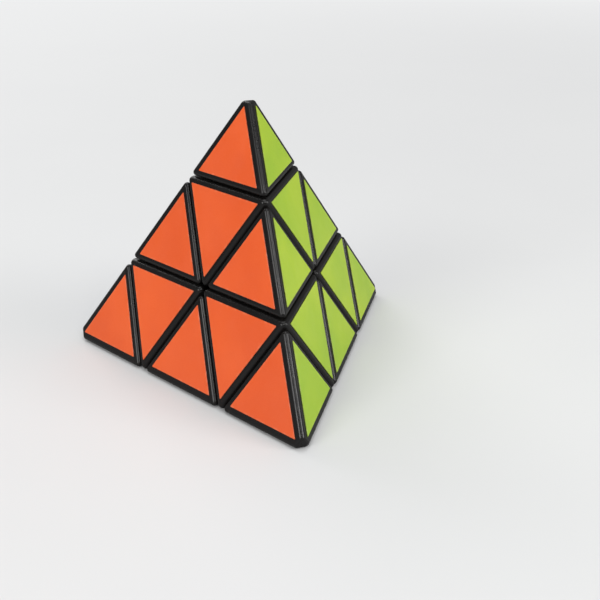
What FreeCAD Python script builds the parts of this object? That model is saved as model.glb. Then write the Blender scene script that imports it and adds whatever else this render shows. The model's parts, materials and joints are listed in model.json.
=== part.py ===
import FreeCAD, Part
import math
import os

import Sketcher

os.makedirs("parts", exist_ok=True)
doc = FreeCAD.newDocument("pyramid_puzzle")
V = FreeCAD.Vector

# ---------------------------------------------------------------- sizes, in mm
SIZES = [
    ("face_distance", "20", "centre of the puzzle to each of the four flat faces"),
    ("sticker_thick", "0.2", "thickness of a sticker"),
    ("axial_margin", "1.5", "sticker of an axial to the cuts around it"),
    ("inner_margin", "2.25", "sticker of a tip or edge piece to the cuts around it"),
    ("outer_margin", "2.6", "sticker to the sharp outer edge of the pyramid"),
    ("gap", "0.15", "each side of a cut keeps this much back"),
    ("slug_radius", "30", "round bar that axials and tips are cut from"),
    ("round_axial", "1.2", "rounding of all edges and corners of an axial"),
    ("round_edge", "1", "rounding of all edges and corners of edge pieces and tips"),
    ("ball_inner", "8.75", "inside radius of the edge feet"),
    ("ball_outer", "16", "radius of the hollow under the axials"),
    ("foot_plane", "3.2", "how near the feet come to a layer's middle"),
    ("hub_radius", "5.3", "hub of an axial"),
    ("hub_floor", "10.15", "bottom of that hub, from the centre"),
    ("bore_radius", "1.7", "running hole around a screw"),
    ("core_radius", "8.5", "ball of the core"),
    ("boss_radius", "4.5", "boss of the core"),
    ("boss_reach", "10", "end of a boss, from the centre"),
    ("thread_radius", "1.55", "screw hole in the core, thread left plain"),
    ("thread_floor", "2.5", "bottom of that hole, from the centre"),
    ("screw_radius", "1.5", "screw shank"),
    ("screw_start", "3", "screw point, from the centre"),
    ("point_length", "1", "tapered end of a screw"),
    ("head_radius", "2.75", "screw head"),
    ("head_bevel", "0.8", "bevel around the top of the head"),
    ("head_start", "42.8", "underside of the head, from the centre"),
    ("head_end", "45", "top of the head, from the centre"),
    ("slot_width", "0.8", "one bar of the cross recess"),
    ("slot_length", "3", "length of a bar of the cross recess"),
    ("slot_depth", "1.2", "depth of the cross recess"),
    ("washer_radius", "3.1", "outside of a washer"),
    ("washer_thick", "0.6", "thickness of a washer"),
    ("spring_radius", "2.4", "middle of the spring wire"),
    ("wire_radius", "0.35", "radius of the spring wire"),
    ("spring_turns", "4.5", "turns of a spring"),
    ("spring_clear", "0.05", "spring to the tip base and to the washer"),
    ("seam_height", "36", "joint between tip base and tip cap, from the centre"),
    ("tip_end", "56.2", "flattened point of a tip, from the centre"),
    ("tip_wall", "1.9", "wall of a tip cap at its thinnest"),
    ("cavity_end", "46", "top of the hollow in a tip cap"),
    ("ring_outer", "6", "locating ring on a tip base, outside"),
    ("ring_inner", "4.2", "locating ring on a tip base, inside"),
    ("ring_height", "1.2", "height of that ring"),
]

sheet = doc.addObject("Spreadsheet::Sheet", "Sizes")
for row, (alias, value, note) in enumerate(SIZES, start=1):
    sheet.set("A%d" % row, alias)
    sheet.set("B%d" % row, value)
    sheet.set("C%d" % row, note)
    sheet.setAlias("B%d" % row, alias)
doc.recompute()

# Expressions used in several sketches.  A cut plane or a face of the pyramid,
# seen from the axis of a corner, leans by one third over the root of eight
# ninths; seen across an edge piece it leans by the roots of two and one thirds.
SINE = "(sqrt(8)/3)"
WIDE = "sqrt(2/3)"
HIGH = "sqrt(1/3)"
LOW_CUT = "Sizes.face_distance/3"
HIGH_CUT = "Sizes.face_distance*5/3"


def face_at(height, inset="0"):
    """Distance of a pyramid face, or a plane inside it, from a corner's axis."""
    return "(Sizes.face_distance-%s-(%s)/3)/%s" % (inset, height, SINE)


def cut_at(height, inset):
    """Distance of another corner's layer cut, or a plane inside it, from the axis."""
    return "(Sizes.face_distance/3-Sizes.gap-%s+(%s)/3)/%s" % (inset, height, SINE)


def number(expression):
    return float(sheet.evalExpression(expression))


# ------------------------------------------------------------- drawing helpers
def origin_item(body, role):
    for item in body.Origin.OriginFeatures:
        if item.Role == role:
            return item
    raise RuntimeError("no origin item " + role)


def new_sketch(body, name, role, lift=None):
    sketch = body.newObject("Sketcher::SketchObject", name)
    sketch.AttachmentSupport = [(origin_item(body, role), "")]
    sketch.MapMode = "FlatFace"
    if lift:
        sketch.setExpression("AttachmentOffset.Base.z", lift)
    return sketch


def pin(sketch, geo, point, x, y):
    """Fix one point of a sketch by two sizes from the origin."""
    for kind, axis, value in (("DistanceX", -2, x), ("DistanceY", -1, y)):
        if value == "0":
            sketch.addConstraint(Sketcher.Constraint("PointOnObject", geo, point, axis))
        else:
            index = sketch.addConstraint(
                Sketcher.Constraint(kind, -1, 1, geo, point, number(value)))
            sketch.setExpression("Constraints[%d]" % index, value)


def add_polygon(sketch, corners):
    points = [V(number(x), number(y), 0) for x, y in corners]
    first = sketch.GeometryCount
    count = len(points)
    for i in range(count):
        sketch.addGeometry(Part.LineSegment(points[i], points[(i + 1) % count]), False)
    for i in range(count):
        following = first + (i + 1) % count
        sketch.addConstraint(Sketcher.Constraint("Coincident", first + i, 2, following, 1))
    for i, (x, y) in enumerate(corners):
        pin(sketch, first + i, 1, x, y)


def polygon(body, name, role, corners, lift=None):
    sketch = new_sketch(body, name, role, lift)
    add_polygon(sketch, corners)
    return sketch


def add_circle(sketch, radius):
    geo = sketch.addGeometry(Part.Circle(V(0, 0, 0), V(0, 0, 1), number(radius)), False)
    sketch.addConstraint(Sketcher.Constraint("Coincident", geo, 3, -1, 1))
    index = sketch.addConstraint(Sketcher.Constraint("Radius", geo, number(radius)))
    sketch.setExpression("Constraints[%d]" % index, radius)


def circles(body, name, role, radii, lift=None):
    sketch = new_sketch(body, name, role, lift)
    for radius in radii:
        add_circle(sketch, radius)
    return sketch


def add_arc(sketch, radius, start, end):
    """An arc about the origin, from start to end, angles in degrees."""
    circle = Part.Circle(V(0, 0, 0), V(0, 0, 1), number(radius))
    geo = sketch.addGeometry(
        Part.ArcOfCircle(circle, math.radians(start), math.radians(end)), False)
    sketch.addConstraint(Sketcher.Constraint("Coincident", geo, 3, -1, 1))
    index = sketch.addConstraint(Sketcher.Constraint("Radius", geo, number(radius)))
    sketch.setExpression("Constraints[%d]" % index, radius)
    return geo


def new_body(node):
    body = doc.addObject("PartDesign::Body", node)
    body.Label = node
    return body


def pad(body, name, sketch, length, both=False):
    feature = body.newObject("PartDesign::Pad", name)
    feature.Profile = sketch
    feature.setExpression("Length", length)
    if both:
        feature.SideType = "Symmetric"
    body.Tip = feature
    return feature


def through_cut(body, name, sketch):
    """A pocket that runs the same way on both sides of its sketch."""
    feature = body.newObject("PartDesign::Pocket", name)
    feature.Profile = sketch
    feature.setExpression("Length", "Sizes.face_distance*6")
    feature.SideType = "Symmetric"
    body.Tip = feature
    return feature


def three_times(body, name, original):
    pattern = body.newObject("PartDesign::PolarPattern", name)
    pattern.Originals = [original]
    pattern.Axis = (origin_item(body, "Z_Axis"), [""])
    pattern.Angle = 360
    pattern.Occurrences = 3
    body.Tip = pattern
    return pattern


def turned(body, name, sketch):
    """A solid made by a full turn of a sketch about the Z axis."""
    feature = body.newObject("PartDesign::Revolution", name)
    feature.Profile = sketch
    feature.ReferenceAxis = (origin_item(body, "Z_Axis"), [""])
    feature.Angle = 360
    body.Tip = feature
    return feature


def cylinder(name, radius, height, lift):
    thing = doc.addObject("Part::Cylinder", name)
    thing.setExpression("Radius", radius)
    thing.setExpression("Height", height)
    thing.setExpression("Placement.Base.z", lift)
    return thing


def swollen(name, sharp, radius):
    """Grow a sharp solid by a radius, which rounds all its edges and corners."""
    skin = doc.addObject("Part::Offset", name)
    skin.Source = sharp
    skin.setExpression("Value", radius)
    skin.Join = "Arc"
    return skin


def fused(name, members):
    thing = doc.addObject("Part::MultiFuse", name)
    thing.Shapes = members
    return thing


def common(name, members):
    thing = doc.addObject("Part::MultiCommon", name)
    thing.Shapes = members
    return thing


def cut_from(node, base, tools):
    thing = doc.addObject("Part::Cut", node)
    thing.Base = base
    thing.Tool = tools[0] if len(tools) == 1 else fused(node + "_tools", tools)
    thing.Label = node
    return thing


# ------------------------------------------- directions from the puzzle centre
TOP = V(0, 0, 1)
FRONT = V(0, -math.sqrt(8) / 3, -1 / 3)
RIGHT = V(math.sqrt(2 / 3), math.sqrt(2) / 3, -1 / 3)
LEFT = V(-math.sqrt(2 / 3), math.sqrt(2) / 3, -1 / 3)
CORNERS = {"top": TOP, "front": FRONT, "right": RIGHT, "left": LEFT}
EDGES = [("top", "front"), ("top", "right"), ("top", "left"),
         ("front", "right"), ("front", "left"), ("left", "right")]
# Each face is named by the corner opposite to it.
COLOURS = {"right": "orange", "left": "lime", "front": "blue", "top": "yellow"}


def place(thing, rotation, offset=V(0, 0, 0)):
    """The origin is the puzzle centre, where the axes of all four corners meet."""
    thing.Placement = FreeCAD.Placement(offset, rotation)


def corner_rotation(corner):
    """Half turn that swaps the top corner with this one, pyramid unchanged."""
    if corner == "top":
        return FreeCAD.Rotation()
    return FreeCAD.Rotation(TOP + CORNERS[corner], 180)


def edge_rotation(first, second):
    up = (CORNERS[first] + CORNERS[second]).normalize()
    along = (CORNERS[first] - CORNERS[second]).normalize()
    return FreeCAD.Rotation(along, up.cross(along), up, "ZXY")


# ------------------------------------------------------- shapes about one axis
def slug(body, start, end):
    disc = circles(body, body.Name + "_slug", "XY_Plane", ["Sizes.slug_radius"], start)
    pad(body, body.Name + "_slug_pad", disc, "(%s)-(%s)" % (end, start))


def trim(body, name, corners):
    """Cut away a drawn region beside the axis, then again at thirds of a turn."""
    side = polygon(body, body.Name + name, "YZ_Plane", corners)
    cut = through_cut(body, body.Name + name + "_cut", side)
    three_times(body, body.Name + name + "s", cut)


def axial(corner):
    """Eight-sided centre piece of a layer, hollowed over the core, with its hub."""
    inset = "Sizes.round_axial"
    sharp = new_body("axial_sharp_" + corner)
    slug(sharp, "%s+Sizes.gap+%s" % (LOW_CUT, inset), "%s-Sizes.gap-%s" % (HIGH_CUT, inset))
    far, wide = "Sizes.face_distance*2", "Sizes.face_distance*3"
    trim(sharp, "_face", [(face_at("0", inset), "0"), (face_at(far, inset), far),
                          (wide, far), (wide, "0")])
    trim(sharp, "_layer", [("-" + cut_at("0", inset), "0"), ("-" + cut_at(far, inset), far),
                           ("-" + wide, far), ("-" + wide, "0")])
    skin = swollen("axial_skin_" + corner, sharp, inset)
    bore = cylinder("axial_bore_" + corner, "Sizes.bore_radius", far, LOW_CUT)
    node = cut_from("axial_" + corner, skin, [ball_hollow(corner), bore])
    place(node, corner_rotation(corner))
    return node


def ball_hollow(corner):
    """Space that an axial leaves for the ball, around its own hub."""
    body = new_body("axial_hollow_" + corner)
    sketch = new_sketch(body, body.Name + "_side", "XZ_Plane")
    ball, hub = "Sizes.ball_outer", "Sizes.hub_radius"
    floor, base = "Sizes.hub_floor", "(%s)" % LOW_CUT
    high = "sqrt(%s^2-%s^2)" % (ball, hub)
    wide = "sqrt(%s^2-%s^2)" % (ball, base)
    corners = [(wide, base), ("0", base), ("0", floor), (hub, floor), (hub, high)]
    for (x0, y0), (x1, y1) in zip(corners, corners[1:]):
        line = Part.LineSegment(V(number(x0), number(y0), 0), V(number(x1), number(y1), 0))
        sketch.addGeometry(line, False)
    start = math.degrees(math.atan2(number(base), number(wide)))
    end = math.degrees(math.atan2(number(high), number(hub)))
    arc = add_arc(sketch, ball, start, end)
    for i in range(3):
        sketch.addConstraint(Sketcher.Constraint("Coincident", i, 2, i + 1, 1))
    sketch.addConstraint(Sketcher.Constraint("Coincident", 3, 2, arc, 2))
    sketch.addConstraint(Sketcher.Constraint("Coincident", 0, 1, arc, 1))
    pin(sketch, 0, 2, "0", base)
    pin(sketch, 2, 1, "0", floor)
    pin(sketch, 3, 1, hub, floor)
    sketch.addConstraint(Sketcher.Constraint("Vertical", 3))
    sketch.addConstraint(Sketcher.Constraint("Horizontal", 0))
    turned(body, body.Name + "_turn", sketch)
    return body


def edge_piece(first, second):
    """Four-sided piece on an edge of the pyramid, with its foot in the ball."""
    ends = "%s_%s" % (first, second)
    sharp = new_body("edge_sharp_" + ends)
    wide, inset = "Sizes.face_distance", "Sizes.round_edge"
    start = "(Sizes.face_distance/3+Sizes.gap+%s)/%s" % (inset, HIGH)
    rise = "%s+%s*sqrt(2)" % (start, wide)
    wedge = polygon(sharp, sharp.Name + "_wedge", "XZ_Plane", [
        ("0", start), (wide, rise), ("-" + wide, rise)])
    pad(sharp, sharp.Name + "_wedge_pad", wedge, "Sizes.face_distance*2", both=True)
    peak = "(Sizes.face_distance-%s)/%s" % (inset, HIGH)
    eaves = "%s-%s*sqrt(2)" % (peak, wide)
    roof = polygon(sharp, sharp.Name + "_roof", "YZ_Plane", [
        ("0", peak), (wide, eaves), (wide, "3*" + wide), ("-" + wide, "3*" + wide),
        ("-" + wide, eaves)])
    through_cut(sharp, sharp.Name + "_roof_cut", roof)
    skin = swollen("edge_skin_" + ends, sharp, inset)
    node = fused("edge_" + ends, [skin, foot(ends)])
    node.Label = "edge_" + ends
    place(node, edge_rotation(first, second))
    return node


def foot(ends):
    """Part of a hollow ball that the two neighbouring axials hold down."""
    body = new_body("edge_foot_" + ends)
    sketch = new_sketch(body, body.Name + "_shell", "XZ_Plane")
    inner, outer = "Sizes.ball_inner", "Sizes.ball_outer-Sizes.gap"
    low, high = number(inner), number(outer)
    lean = 30
    slope = math.radians(lean)
    sketch.addGeometry(Part.LineSegment(V(0, low, 0), V(0, high, 0)), False)
    sketch.addGeometry(Part.LineSegment(
        V(low * math.cos(slope), low * math.sin(slope), 0),
        V(high * math.cos(slope), high * math.sin(slope), 0)), False)
    small = add_arc(sketch, inner, lean, 90)
    large = add_arc(sketch, outer, lean, 90)
    for line, point, arc, end in ((0, 1, small, 2), (0, 2, large, 2),
                                  (1, 1, small, 1), (1, 2, large, 1)):
        sketch.addConstraint(Sketcher.Constraint("Coincident", line, point, arc, end))
    sketch.addConstraint(Sketcher.Constraint("Vertical", 0))
    sketch.addConstraint(Sketcher.Constraint("Angle", 1, slope))
    turned(body, body.Name + "_shell_turn", sketch)
    far = "Sizes.face_distance*3/2"
    start = "(Sizes.foot_plane+Sizes.gap)/" + HIGH
    rise = "%s+%s*sqrt(2)" % (start, far)
    sides = polygon(body, body.Name + "_sides", "XZ_Plane", [
        ("0", start), (far, rise), (far, "-" + far), ("-" + far, "-" + far),
        ("-" + far, rise)])
    through_cut(body, body.Name + "_sides_cut", sides)
    near = "(Sizes.foot_plane-Sizes.gap)/" + WIDE
    reach = "%s+Sizes.face_distance/sqrt(2)" % near
    caps = new_sketch(body, body.Name + "_caps", "YZ_Plane")
    for sign in ("", "-"):
        add_polygon(caps, [(sign + "(" + near + ")", "0"),
                           (sign + "(" + reach + ")", "Sizes.face_distance"),
                           (sign + far, "Sizes.face_distance"), (sign + far, "0")])
    through_cut(body, body.Name + "_caps_cut", caps)
    return body


def tip_skin(corner):
    """Outer form of a tip: four sides, all rounded, its point a little flattened."""
    sharp = new_body("tip_sharp_" + corner)
    far, wide, inset = "Sizes.face_distance*3", "Sizes.face_distance*4", "Sizes.round_edge"
    slug(sharp, "%s+Sizes.gap+%s" % (HIGH_CUT, inset), "Sizes.tip_end-" + inset)
    trim(sharp, "_face", [(face_at("0", inset), "0"), (face_at(far, inset), far),
                          (wide, far), (wide, "0")])
    return swollen("tip_skin_" + corner, sharp, inset)


def tip(corner):
    """Floor plate with a locating ring, and the hollow cap glued over it."""
    skin, seam = tip_skin(corner), "Sizes.seam_height"
    below = cylinder("tip_below_" + corner, "Sizes.slug_radius", seam, "0")
    plate = common("tip_plate_" + corner, [skin, below])
    ring = new_body("tip_ring_" + corner)
    outline = circles(ring, ring.Name + "_circles", "XY_Plane",
                      ["Sizes.ring_outer", "Sizes.ring_inner"], seam + "-Sizes.ring_height")
    pad(ring, ring.Name + "_pad", outline, "2*Sizes.ring_height")
    floor = fused("tip_floor_" + corner, [plate, ring])
    bore = cylinder("tip_bore_" + corner, "Sizes.bore_radius", "Sizes.face_distance", HIGH_CUT)
    base = cut_from("tip_base_" + corner, floor, [bore])
    above = cylinder("tip_above_" + corner, "Sizes.slug_radius", "Sizes.tip_end", seam)
    shell = common("tip_shell_" + corner, [skin, above])
    cavity = new_body("tip_cavity_" + corner)
    low, high = seam + "-Sizes.ring_height", "Sizes.cavity_end"
    side = polygon(cavity, cavity.Name + "_side", "XZ_Plane", [
        ("0", low), (face_at(low) + "-Sizes.tip_wall", low),
        (face_at(high) + "-Sizes.tip_wall", high), ("0", high)])
    turned(cavity, cavity.Name + "_turn", side)
    cap = cut_from("tip_cap_" + corner, shell, [cavity])
    for node in (base, cap):
        place(node, corner_rotation(corner))
    return [base, cap]


# --------------------------------------------------------------- core and axles
def core():
    """Ball with four bosses and four blind screw holes."""
    ball = doc.addObject("Part::Sphere", "core_ball")
    ball.setExpression("Radius", "Sizes.core_radius")
    bosses, holes = [], []
    for corner, direction in CORNERS.items():
        turn = FreeCAD.Rotation(TOP, direction)
        boss = cylinder("core_boss_" + corner, "Sizes.boss_radius", "Sizes.boss_reach", "0")
        boss.Placement.Rotation = turn
        bosses.append(boss)
        hole = doc.addObject("Part::Cylinder", "core_hole_" + corner)
        hole.setExpression("Radius", "Sizes.thread_radius")
        hole.setExpression("Height", "Sizes.boss_reach")
        place(hole, turn, direction * number("Sizes.thread_floor"))
        holes.append(hole)
    return cut_from("core", fused("core_solid", [ball] + bosses), holes)


def group(node, members):
    """Identical small pieces, one to a corner, kept as separate solids."""
    bundle = doc.addObject("Part::Compound", node)
    bundle.Links = members
    bundle.Label = node
    return bundle


def screw(corner):
    body = new_body("axle_screw_" + corner)
    radius, head = "Sizes.screw_radius", "Sizes.head_radius"
    profile = polygon(body, body.Name + "_profile", "XZ_Plane", [
        ("0", "Sizes.screw_start"), (radius + "/2", "Sizes.screw_start"),
        (radius, "Sizes.screw_start+Sizes.point_length"), (radius, "Sizes.head_start"),
        (head, "Sizes.head_start"), (head, "Sizes.head_end-Sizes.head_bevel"),
        (head + "-Sizes.head_bevel", "Sizes.head_end"), ("0", "Sizes.head_end")])
    turned(body, body.Name + "_turn", profile)
    half, wide = "Sizes.slot_length/2", "Sizes.slot_width/2"
    cross = polygon(body, body.Name + "_cross", "XY_Plane", [
        (half, "-" + wide), (half, wide), (wide, wide), (wide, half),
        ("-" + wide, half), ("-" + wide, wide), ("-" + half, wide),
        ("-" + half, "-" + wide), ("-" + wide, "-" + wide), ("-" + wide, "-" + half),
        (wide, "-" + half), (wide, "-" + wide)], "Sizes.head_end")
    recess = body.newObject("PartDesign::Pocket", body.Name + "_recess")
    recess.Profile = cross
    recess.setExpression("Length", "Sizes.slot_depth")
    body.Tip = recess
    place(body, corner_rotation(corner))
    return body


def washer(corner):
    body = new_body("spring_washer_" + corner)
    ring = circles(body, body.Name + "_ring", "XY_Plane",
                   ["Sizes.washer_radius", "Sizes.bore_radius"],
                   "Sizes.head_start-Sizes.washer_thick")
    pad(body, body.Name + "_pad", ring, "Sizes.washer_thick")
    place(body, corner_rotation(corner))
    return body


def spring(corner):
    """Coil between the tip base and the washer, its ends just clear of both."""
    body = new_body("tension_spring_" + corner)
    start = "Sizes.seam_height+Sizes.wire_radius+Sizes.spring_clear"
    room = "Sizes.head_start-Sizes.washer_thick-Sizes.seam_height"
    height = room + "-2*(Sizes.wire_radius+Sizes.spring_clear)"
    sketch = new_sketch(body, body.Name + "_wire", "XZ_Plane")
    circle = Part.Circle(V(number("Sizes.spring_radius"), number(start), 0), V(0, 0, 1),
                         number("Sizes.wire_radius"))
    sketch.addGeometry(circle, False)
    index = sketch.addConstraint(
        Sketcher.Constraint("Radius", 0, number("Sizes.wire_radius")))
    sketch.setExpression("Constraints[%d]" % index, "Sizes.wire_radius")
    pin(sketch, 0, 3, "Sizes.spring_radius", start)
    coil = body.newObject("PartDesign::AdditiveHelix", body.Name + "_coil")
    coil.Profile = sketch
    coil.ReferenceAxis = (origin_item(body, "Z_Axis"), [""])
    coil.Mode = "height-turns-angle"
    coil.setExpression("Height", height)
    coil.setExpression("Turns", "Sizes.spring_turns")
    body.Tip = coil
    place(body, corner_rotation(corner))
    return body


# -------------------------------------------------------------------- stickers
def sticker(node, opposite, toward, shift, inverted, margins):
    """Flat triangle on the face opposite a corner, pointing toward a corner."""
    normal = CORNERS[opposite] * -1
    aim = CORNERS[toward] - normal * CORNERS[toward].dot(normal)
    aim.normalize()
    thing = doc.addObject("Part::Prism", node)
    thing.Polygon = 3
    thing.setExpression("Circumradius", "2*(%s*sqrt(2)/3-(%s)/3)" % (
        "Sizes.face_distance", margins))
    thing.setExpression("Height", "Sizes.sticker_thick")
    thing.Label = node
    point = aim * -1 if inverted else aim
    turn = FreeCAD.Rotation(point, normal.cross(point), normal, "ZXY")
    offset = normal * number("Sizes.face_distance") + aim * number(shift)
    place(thing, turn, offset)
    return thing


def face_stickers(opposite):
    """The nine stickers of one face: three tips, three axials, three edges."""
    colour = COLOURS[opposite]
    around = [corner for corner in CORNERS if corner != opposite]
    step = "Sizes.face_distance*2*sqrt(2)/3"
    drift = "2*(Sizes.outer_margin-Sizes.inner_margin)/3"
    made = []
    for corner in around:
        made.append(sticker("sticker_%s_tip_%s" % (colour, corner), opposite, corner,
                            "2*%s-%s" % (step, drift), False,
                            "2*Sizes.outer_margin+Sizes.inner_margin"))
        made.append(sticker("sticker_%s_axial_%s" % (colour, corner), opposite, corner,
                            step, True, "3*Sizes.axial_margin"))
    for pair in EDGES:
        if opposite in pair:
            continue
        third = [corner for corner in around if corner not in pair][0]
        made.append(sticker("sticker_%s_edge_%s_%s" % ((colour,) + pair), opposite, third,
                            "-(%s-%s)" % (step, drift), False,
                            "Sizes.outer_margin+2*Sizes.inner_margin"))
    return made


# ------------------------------------------------------------------------ build
nodes = [core()]
nodes.append(group("axle_screws", [screw(corner) for corner in CORNERS]))
nodes.append(group("spring_washers", [washer(corner) for corner in CORNERS]))
nodes.append(group("tension_springs", [spring(corner) for corner in CORNERS]))
for name in CORNERS:
    nodes.append(axial(name))
    nodes.extend(tip(name))
for pair in EDGES:
    nodes.append(edge_piece(*pair))
for name in CORNERS:
    nodes.extend(face_stickers(name))
doc.recompute()

for thing in doc.Objects:
    if "Invalid" in thing.State or "Error" in thing.State:
        raise RuntimeError("%s does not recompute" % thing.Label)
for node in nodes:
    if node.Shape.isNull() or not node.Shape.isValid() or node.Shape.Volume <= 0:
        raise RuntimeError("%s has no valid shape" % node.Label)
    node.Shape.exportStep("parts/%s.step" % node.Label)
    print("%-32s %2d solids %10.2f mm3" % (node.Label, len(node.Shape.Solids), node.Shape.Volume))
print("%d nodes" % len(nodes))
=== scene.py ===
import json
import math

import bmesh
import bpy
from mathutils import Matrix, Vector

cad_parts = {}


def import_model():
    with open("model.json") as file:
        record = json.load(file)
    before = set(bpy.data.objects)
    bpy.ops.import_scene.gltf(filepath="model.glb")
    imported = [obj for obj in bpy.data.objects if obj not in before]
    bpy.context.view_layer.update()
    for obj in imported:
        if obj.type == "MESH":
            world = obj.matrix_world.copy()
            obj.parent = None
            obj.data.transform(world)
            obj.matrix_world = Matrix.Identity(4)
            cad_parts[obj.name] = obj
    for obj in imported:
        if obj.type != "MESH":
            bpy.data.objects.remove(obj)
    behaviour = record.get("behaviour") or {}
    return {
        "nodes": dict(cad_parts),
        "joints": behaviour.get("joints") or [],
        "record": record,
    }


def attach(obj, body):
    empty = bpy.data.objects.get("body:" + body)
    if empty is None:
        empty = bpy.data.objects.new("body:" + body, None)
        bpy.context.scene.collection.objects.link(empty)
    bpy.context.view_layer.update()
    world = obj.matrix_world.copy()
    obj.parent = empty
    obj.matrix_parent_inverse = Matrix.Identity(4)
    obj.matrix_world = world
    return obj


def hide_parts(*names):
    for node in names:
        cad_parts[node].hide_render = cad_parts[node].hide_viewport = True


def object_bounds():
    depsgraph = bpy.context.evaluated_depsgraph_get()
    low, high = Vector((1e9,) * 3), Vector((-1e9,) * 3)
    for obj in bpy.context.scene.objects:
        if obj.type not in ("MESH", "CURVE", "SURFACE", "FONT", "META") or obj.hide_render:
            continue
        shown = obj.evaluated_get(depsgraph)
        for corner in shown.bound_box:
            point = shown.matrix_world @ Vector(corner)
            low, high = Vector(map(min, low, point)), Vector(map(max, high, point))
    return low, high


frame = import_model()
cad_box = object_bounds()
scene = bpy.context.scene
nodes = frame["nodes"]
slot_of = {part["node"]: part["material_slot"] for part in frame["record"]["subparts"]}
body_of = {n: body for body, members in frame["record"]["behaviour"]["bodies"].items()
           for n in members}
MM = 0.001
HEART = Vector(frame["joints"][0]["pos_m"])      # every turn is about this point
GROUND = cad_box[0][2]                             # the base stickers rest on this


# ------------------------------------------------------------------ node helpers
class Graph:
    """A material's node tree, with short calls for the nodes used below."""

    def __init__(self, name):
        self.material = bpy.data.materials.new(name)
        self.material.use_nodes = True
        self.tree = self.material.node_tree
        self.tree.nodes.clear()
        self.out = self.node("OutputMaterial")
        self.bsdf = self.node("BsdfPrincipled")
        self.link(self.bsdf.outputs["BSDF"], self.out.inputs["Surface"])
        self.coords = self.node("TexCoord").outputs["Object"]

    def node(self, kind, **settings):
        made = self.tree.nodes.new("ShaderNode" + kind)
        for key, value in settings.items():
            setattr(made, key, value)
        return made

    def link(self, source, target):
        self.tree.links.new(source, target)

    def put(self, target, value):
        if isinstance(value, bpy.types.NodeSocket):
            self.link(value, target)
        else:
            target.default_value = value

    def set(self, name, value):
        self.put(self.bsdf.inputs[name], value)

    def noise(self, scale, detail=2.0, rough=0.5, vector=None, distortion=0.0):
        made = self.node("TexNoise")
        self.link(vector or self.coords, made.inputs["Vector"])
        made.inputs["Scale"].default_value = scale
        made.inputs["Detail"].default_value = detail
        made.inputs["Roughness"].default_value = rough
        made.inputs["Distortion"].default_value = distortion
        return made.outputs["Fac"]

    def math(self, operation, a, b=0.0, clamp=False):
        made = self.node("Math", operation=operation, use_clamp=clamp)
        self.put(made.inputs[0], a)
        self.put(made.inputs[1], b)
        return made.outputs[0]

    def fit(self, value, low, high, to_low=0.0, to_high=1.0):
        made = self.node("MapRange")
        for slot, item in enumerate((value, low, high, to_low, to_high)):
            self.put(made.inputs[slot], item)
        return made.outputs[0]

    def mix(self, factor, a, b):
        made = self.node("Mix", data_type="RGBA")
        self.put(made.inputs[0], factor)
        self.put(made.inputs[6], a)
        self.put(made.inputs[7], b)
        return made.outputs[2]

    def turned(self, angles, stretch):
        """Coordinates turned and stretched, for lines that run one way."""
        made = self.node("Mapping")
        self.link(self.coords, made.inputs["Vector"])
        made.inputs["Rotation"].default_value = [math.radians(a) for a in angles]
        made.inputs["Scale"].default_value = stretch
        return made.outputs[0]

    def scratches(self, angles, width=2600, length=70, amount=0.012):
        lines = self.noise(1.0, 1.0, 0.5, self.turned(angles, (width, length, length)))
        thin = self.fit(self.math("ABSOLUTE", self.math("SUBTRACT", lines, 0.5)),
                        0.0, amount, 1.0, 0.0)
        return self.math("MULTIPLY", thin, self.fit(self.noise(95), 0.52, 0.68))

    def edges(self, radius):
        """1 on convex edges and 0 on flats, from a rounded copy of the normal."""
        bevel = self.node("Bevel", samples=4)
        bevel.inputs["Radius"].default_value = radius
        geometry = self.node("NewGeometry")
        dot = self.node("VectorMath", operation="DOT_PRODUCT")
        self.link(bevel.outputs[0], dot.inputs[0])
        self.link(geometry.outputs["True Normal"], dot.inputs[1])
        return self.fit(dot.outputs["Value"], 0.995, 0.90)

    def bump(self, *layers):
        """Stack of (height, strength, depth in metres)."""
        normal = None
        for height, strength, depth in layers:
            made = self.node("Bump")
            made.inputs["Strength"].default_value = strength
            made.inputs["Distance"].default_value = depth
            self.link(height, made.inputs["Height"])
            if normal:
                self.link(normal, made.inputs["Normal"])
            normal = made.outputs[0]
        self.link(normal, self.bsdf.inputs["Normal"])


def rgb(red, green, blue):
    """A colour as seen on a screen, 0 to 255, made linear."""
    def channel(value):
        value /= 255
        return value / 12.92 if value <= 0.04045 else ((value + 0.055) / 1.055) ** 2.4
    return (channel(red), channel(green), channel(blue), 1.0)


# --------------------------------------------------------------------- materials
def moulded_plastic(name, colour, light, roughness):
    """Glossy moulded plastic: fine tool grain, hairline scratches, convex edges lightened as rubbed
    wear and painted sheen, dust.
    """
    g = Graph(name)
    tone = g.mix(g.noise(60, 3), colour, light)
    # Convex edges are lightened: partly rubbed wear, partly a painted sheen standing in for the
    # highlights on the rounded edges.
    edge_wear_and_sheen = g.math("MULTIPLY", g.edges(0.6 * MM), g.fit(g.noise(240, 4), 0.40, 0.62))
    tone = g.mix(g.math("MULTIPLY", edge_wear_and_sheen, 0.35), tone, rgb(74, 70, 67))
    corner = g.node("AmbientOcclusion", samples=4)
    corner.inputs["Distance"].default_value = 1.2 * MM
    dust = g.math("MULTIPLY", g.fit(corner.outputs["AO"], 0.55, 0.1), g.noise(900, 3))
    tone = g.mix(g.math("MULTIPLY", dust, 0.08), tone, rgb(120, 112, 104))
    g.set("Base Color", tone)
    lines = g.math("ADD", g.scratches((12, 35, 20)), g.scratches((70, 10, 110), 3100))
    rough = g.fit(g.noise(85, 4, 0.6), 0.3, 0.7, roughness - 0.06, roughness + 0.08)
    rough = g.math("ADD", rough, g.math("MULTIPLY", lines, 0.16))
    rough = g.math("SUBTRACT", rough, g.math("MULTIPLY", edge_wear_and_sheen, 0.05), clamp=True)
    g.set("Roughness", rough)
    g.set("IOR", 1.54)
    g.set("Specular IOR Level", 0.35)
    g.bump((g.noise(5200, 2), 0.10, 0.02 * MM), (g.noise(260, 3), 0.12, 0.03 * MM),
           (lines, 0.20, -0.004 * MM))
    return g.material


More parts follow.
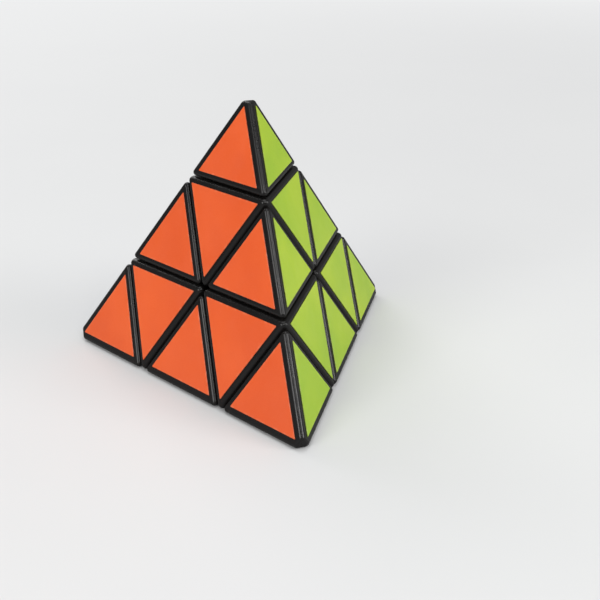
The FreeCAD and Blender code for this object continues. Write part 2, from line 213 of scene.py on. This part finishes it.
def steel(name, colour, roughness, stretch):
    """Drawn or turned steel: fine lines, blotchy plating, painted shade darker in the corners."""
    g = Graph(name)
    grain = g.noise(1.0, 3, 0.6, g.turned((0, 0, 0), stretch))
    patches = g.noise(420, 4, 0.6)
    tone = g.mix(g.math("MULTIPLY", patches, 0.5), colour, rgb(222, 214, 190))
    # Painted shade: the colour darkens in corners and creases, following the ambient occlusion.
    corner = g.node("AmbientOcclusion", samples=4)
    corner.inputs["Distance"].default_value = 0.8 * MM
    tone = g.mix(g.fit(corner.outputs["AO"], 0.2, 0.9, 0.55, 0.0), tone, rgb(50, 46, 40))
    g.set("Base Color", tone)
    g.set("Metallic", 1.0)
    g.set("Roughness", g.fit(grain, 0.3, 0.7, roughness - 0.07, roughness + 0.09))
    g.bump((grain, 0.25, 0.01 * MM), (patches, 0.08, 0.02 * MM))
    return g.material


def film(name, colour, deep, pale):
    """Printed vinyl film under a clear layer: print grain, faint waves, cut rim."""
    g = Graph(name)
    rim = g.node("Attribute", attribute_name="inward").outputs["Fac"]
    tone = g.mix(g.fit(g.noise(38, 3), 0.35, 0.65), deep, colour)
    grain = g.fit(g.noise(7000, 2), 0.35, 0.65, 0.0, 0.10)
    tone = g.mix(grain, tone, pale)
    rubbed = g.math("MULTIPLY", g.fit(rim, 0.55, 0.0), g.fit(g.noise(700, 4), 0.48, 0.66))
    tone = g.mix(g.math("MULTIPLY", rubbed, 0.30), tone, pale)
    cut = g.fit(rim, 0.12, 0.0)
    tone = g.mix(g.math("MULTIPLY", cut, 0.55), tone, rgb(60, 44, 36))
    g.set("Base Color", tone)
    smear = g.fit(g.noise(120, 5, 0.65, distortion=0.6), 0.42, 0.62)
    lines = g.math("ADD", g.scratches((15, 60, 5), 2300), g.scratches((50, 20, 95), 2800))
    rough = g.math("ADD", g.fit(smear, 0.0, 1.0, 0.30, 0.40), g.math("MULTIPLY", lines, 0.12))
    g.set("Roughness", rough)
    g.set("IOR", 1.48)
    g.set("Coat Weight", 0.35)
    g.set("Coat Roughness", g.fit(smear, 0.0, 1.0, 0.10, 0.22))
    g.set("Coat IOR", 1.45)
    g.bump((g.noise(75, 2), 0.16, 0.05 * MM), (g.noise(1500, 2), 0.10, 0.01 * MM),
           (lines, 0.15, -0.003 * MM))
    return g.material


materials = {
    "black_plastic": moulded_plastic("black_moulded", rgb(15, 14, 14), rgb(22, 20, 19), 0.27),
    "core_plastic": moulded_plastic("core_moulded", rgb(46, 46, 48), rgb(58, 58, 60), 0.48),
    "steel": steel("zinc_plated", rgb(196, 198, 200), 0.30, (900, 900, 5200)),
    "spring_steel": steel("drawn_wire", rgb(168, 170, 174), 0.24, (2600, 2600, 2600)),
    "sticker_orange": film("film_orange", rgb(235, 91, 24), rgb(225, 82, 19), rgb(250, 160, 118)),
    "sticker_lime": film("film_lime", rgb(172, 198, 20), rgb(150, 186, 14), rgb(214, 230, 130)),
    "sticker_blue": film("film_blue", rgb(8, 86, 172), rgb(6, 72, 154), rgb(110, 150, 206)),
    "sticker_yellow": film("film_yellow", rgb(250, 212, 32), rgb(242, 198, 16), rgb(255, 240, 160)),
}


# ---------------------------------------------------------------------- stickers
CORNER = 0.2 * MM      # rounding of a sticker's three corners
SAME = 0.02 * MM       # nearer than this, two mesh points are one
CORNER_STEPS = 8       # pieces in the arc of one corner
SIDE_STEPS = 12        # pieces in one straight side
CALM = 2.5             # mm in from the edge where the dents reach full depth
WORN = 1.2             # mm in from the edge that the rim marks reach
DENT = 0.006 * MM      # depth scale of the dents
SEED_STEP = 1.3        # shifts the dents from one sticker to the next
# Steps inward from the cut edge, and how far below the outer surface each sits, mm.
RIM = ((0.0, 0.20), (0.0, 0.07), (0.02, 0.035), (0.055, 0.012), (0.11, 0.002),
       (0.22, 0.0), (0.6, 0.0), (1.4, 0.0), (2.5, 0.0), (3.9, 0.0), (5.3, 0.0))


def triangle_of(node):
    """Corners of a sticker's outer face, its centre and its outward direction."""
    points = []
    for vertex in nodes[node].data.vertices:
        if all((vertex.co - p).length > SAME for p in points):
            points.append(vertex.co.copy())
    near = min(points[1:], key=lambda p: (p - points[0]).length)
    normal = (near - points[0]).normalized()
    middle = sum(points, Vector()) / len(points)
    if normal.dot(middle - HEART) < 0:
        normal.negate()
    outer = sorted(points, key=normal.dot)[-3:]
    return outer, sum(outer, Vector()) / 3, normal


def outline(outer, centre, normal):
    """Points round the triangle, its corners rounded, with a few on each side."""
    across = (outer[0] - centre).normalized()
    up = normal.cross(across)
    reach = (outer[0] - centre).length - 2 * CORNER

    def toward(angle, length):
        return (across * math.cos(angle) + up * math.sin(angle)) * length

    third = math.radians(120)
    points = []
    for turn in (0, third, 2 * third):
        hub = centre + toward(turn, reach)
        for step in range(CORNER_STEPS + 1):
            points.append(hub + toward(turn + third * (step / CORNER_STEPS - 0.5), CORNER))
        ahead = centre + toward(turn + third, reach)
        shift = toward(turn + third / 2, CORNER)
        for step in range(1, SIDE_STEPS):
            points.append(hub.lerp(ahead, step / SIDE_STEPS) + shift)
    return points


def wave(point, seed):
    """Very slight dents left by pressing the film down, never above the surface."""
    a = math.sin(point.x * 310 + seed) * math.cos(point.y * 270 - 1.7 * seed)
    b = math.sin(point.z * 350 + 0.6 * seed)
    return DENT * (a + b - 2)


def make_sticker(node, seed):
    outer, centre, normal = triangle_of(node)
    ring = outline(outer, centre, normal)
    inner_radius = (outer[0] - centre).length / 2
    mesh = bmesh.new()
    inward = mesh.verts.layers.float.new("inward")
    rings = []
    for inset, drop in RIM:
        scale = 1 - inset * MM / inner_radius
        loop = []
        for point in ring:
            spot = centre + (point - centre) * scale
            lift = wave(spot, seed) * min(1.0, inset / CALM) - drop * MM
            vertex = mesh.verts.new(spot + normal * lift)
            vertex[inward] = min(1.0, inset / WORN)
            loop.append(vertex)
        rings.append(loop)
    count = len(ring)
    for low, high in zip(rings, rings[1:]):
        for i in range(count):
            mesh.faces.new((low[i], low[(i + 1) % count], high[(i + 1) % count], high[i]))
    top = mesh.verts.new(centre + normal * wave(centre, seed))
    top[inward] = 1.0
    for i in range(count):
        mesh.faces.new((rings[-1][i], rings[-1][(i + 1) % count], top))
    mesh.faces.new(list(reversed(rings[0])))
    for face in mesh.faces:
        face.smooth = len(face.verts) < 5
    data = bpy.data.meshes.new("film_" + node)
    mesh.normal_update()
    mesh.to_mesh(data)
    mesh.free()
    piece = bpy.data.objects.new("film_" + node, data)
    scene.collection.objects.link(piece)
    data.materials.append(materials[slot_of[node]])
    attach(piece, body_of[node])
    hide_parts(node)
    return piece


for number, node in enumerate(sorted(slot_of)):
    if node.startswith("sticker_"):
        make_sticker(node, SEED_STEP * number)
    else:
        data = nodes[node].data
        data.materials.clear()
        data.materials.append(materials[slot_of[node]])


# ------------------------------------------------------------- floor and lights
HORIZON = (0.86, 0.865, 0.87, 1.0)
FLOOR_RADIUS = 12.0
FLOOR_FADE = (0.15, 0.75)      # from paper to plain backdrop, distance from the puzzle
FLOOR_DROP = 0.02 * MM         # keeps the paper clear of the base stickers


def floor():
    """Pale paper that fades into the backdrop.  Returns the value that hides it."""
    mesh = bmesh.new()
    bmesh.ops.create_circle(mesh, cap_ends=True, segments=96, radius=FLOOR_RADIUS)
    data = bpy.data.meshes.new("floor")
    mesh.to_mesh(data)
    mesh.free()
    thing = bpy.data.objects.new("floor", data)
    thing.location.z = GROUND - FLOOR_DROP
    scene.collection.objects.link(thing)
    g = Graph("floor_paint")
    paper = g.mix(g.noise(9, 4), rgb(209, 209, 209), rgb(214, 214, 213))
    # Painted shade in reflections: for glossy rays the paper is painted darker, standing in for
    # dark flags.
    seen = g.node("LightPath")
    g.set("Base Color", g.mix(g.math("MULTIPLY", seen.outputs["Is Glossy Ray"], 0.6),
                              paper, rgb(60, 60, 60)))
    g.set("Roughness", 0.7)
    g.set("Specular IOR Level", 0.2)
    g.bump((g.noise(900, 3), 0.05, 0.05 * MM))
    away = g.node("VectorMath", operation="LENGTH")
    g.link(g.coords, away.inputs[0])
    far = g.node("Emission")
    far.inputs["Color"].default_value = HORIZON
    # Painted shade in reflections: the far backdrop glows dimmer for glossy rays.
    g.put(far.inputs["Strength"], g.fit(seen.outputs["Is Glossy Ray"], 0, 1, 1.0, 0.25))
    fade = g.node("MixShader")
    g.put(fade.inputs[0], g.fit(away.outputs["Value"], *FLOOR_FADE))
    g.link(g.bsdf.outputs[0], fade.inputs[1])
    g.link(far.outputs[0], fade.inputs[2])
    clear = g.node("BsdfTransparent")
    mixer = g.node("MixShader")
    below = g.node("Value")
    g.link(below.outputs[0], mixer.inputs[0])
    g.link(fade.outputs[0], mixer.inputs[1])
    g.link(clear.outputs[0], mixer.inputs[2])
    g.link(mixer.outputs[0], g.out.inputs["Surface"])
    data.materials.append(g.material)
    return below


# Name, position in metres, width and height, power in watts; all aim at the puzzle.
LIGHTS = (("key_left", (-0.85, -0.55, 0.48), (0.55, 0.45), 5),
          ("fill_right", (0.80, -0.60, 0.43), (0.5, 0.45), 5),
          ("strip_front", (0.14, -0.72, 0.74), (0.5, 0.16), 2.2),
          ("top", (0.0, 0.15, 0.98), (0.6, 0.6), 2.8),
          ("rear", (-0.25, 0.9, 0.53), (0.6, 0.4), 3.2),
          ("under", (0.1, -0.1, -0.72), (0.9, 0.9), 6))


def area_light(name, position, size, power):
    light = bpy.data.lights.new(name, "AREA")
    light.shape = "RECTANGLE"
    light.size, light.size_y = size
    light.energy = power
    thing = bpy.data.objects.new(name, light)
    thing.location = position
    thing.rotation_mode = "QUATERNION"
    thing.rotation_quaternion = (HEART - Vector(position)).to_track_quat("-Z", "Y")
    scene.collection.objects.link(thing)


def world():
    """Even pale backdrop; dimmer in reflections, as in a studio with dark flags."""
    sky = bpy.data.worlds.new("studio")
    sky.use_nodes = True
    tree = sky.node_tree
    tree.nodes.clear()
    out = tree.nodes.new("ShaderNodeOutputWorld")
    seen = tree.nodes.new("ShaderNodeLightPath")
    kinds = (("Is Glossy Ray", HORIZON, 0.20), ("Is Camera Ray", HORIZON, 1.0))
    last = tree.nodes.new("ShaderNodeBackground")
    last.inputs["Color"].default_value = (0.96, 0.98, 1.0, 1.0)
    last.inputs["Strength"].default_value = 0.45
    for ray, colour, strength in kinds:
        glow = tree.nodes.new("ShaderNodeBackground")
        glow.inputs["Color"].default_value = colour
        glow.inputs["Strength"].default_value = strength
        mixer = tree.nodes.new("ShaderNodeMixShader")
        tree.links.new(seen.outputs[ray], mixer.inputs[0])
        tree.links.new(last.outputs[0], mixer.inputs[1])
        tree.links.new(glow.outputs[0], mixer.inputs[2])
        last = mixer
    tree.links.new(last.outputs[0], out.inputs["Surface"])
    scene.world = sky


def watch_camera(target, path, variable, expression, camera):
    """Make a value follow the camera's place."""
    driver = target.driver_add(path).driver
    driver.type = "SCRIPTED"
    item = driver.variables.new()
    item.name = "place"
    item.type = "TRANSFORMS"
    item.targets[0].id = camera
    item.targets[0].transform_type = variable
    item.targets[0].transform_space = "WORLD_SPACE"
    driver.expression = expression


# Off-centre frame of the main view, in frame widths; a moved camera drops it.
FRAME_SHIFT = (("shift_x", -0.1794), ("shift_y", -0.3957))
CAMERA_STIR = 0.0002


def camera():
    """Seen from the front left and from above, with a shifted frame."""
    azimuth, elevation, roll = (math.radians(a) for a in (-21.04, 12.23, 0.62))
    distance, aside, above = 302.3 * MM, 44.8 * MM, 65.6 * MM
    back = Vector((math.sin(azimuth) * math.cos(elevation),
                   -math.cos(azimuth) * math.cos(elevation), math.sin(elevation)))
    right = Vector((math.cos(azimuth), math.sin(azimuth), 0.0))
    up = back.cross(right)
    turned = right * math.cos(roll) + up * math.sin(roll)
    up = up * math.cos(roll) - right * math.sin(roll)
    data = bpy.data.cameras.new("camera")
    data.sensor_width = 36
    data.lens = 62.51
    data.clip_start, data.clip_end = 0.01, 50
    thing = bpy.data.objects.new("camera", data)
    scene.collection.objects.link(thing)
    thing.rotation_mode = "QUATERNION"
    thing.rotation_quaternion = Matrix((turned, up, back)).transposed().to_quaternion()
    thing.location = HEART + back * distance + turned * aside + up * above
    scene.camera = thing
    here = "abs(place - (%.5f)) < %s" % (thing.location.x, CAMERA_STIR)
    for path, value in FRAME_SHIFT:
        watch_camera(data, path, "LOC_X", "%s if %s else 0.0" % (value, here), thing)
    return thing


view = camera()
below = floor()
watch_camera(below.outputs[0], "default_value", "LOC_Z",
             "1.0 if place < %.5f else 0.0" % GROUND, view)
world()
for light in LIGHTS:
    area_light(*light)
scene.view_settings.view_transform = "Standard"
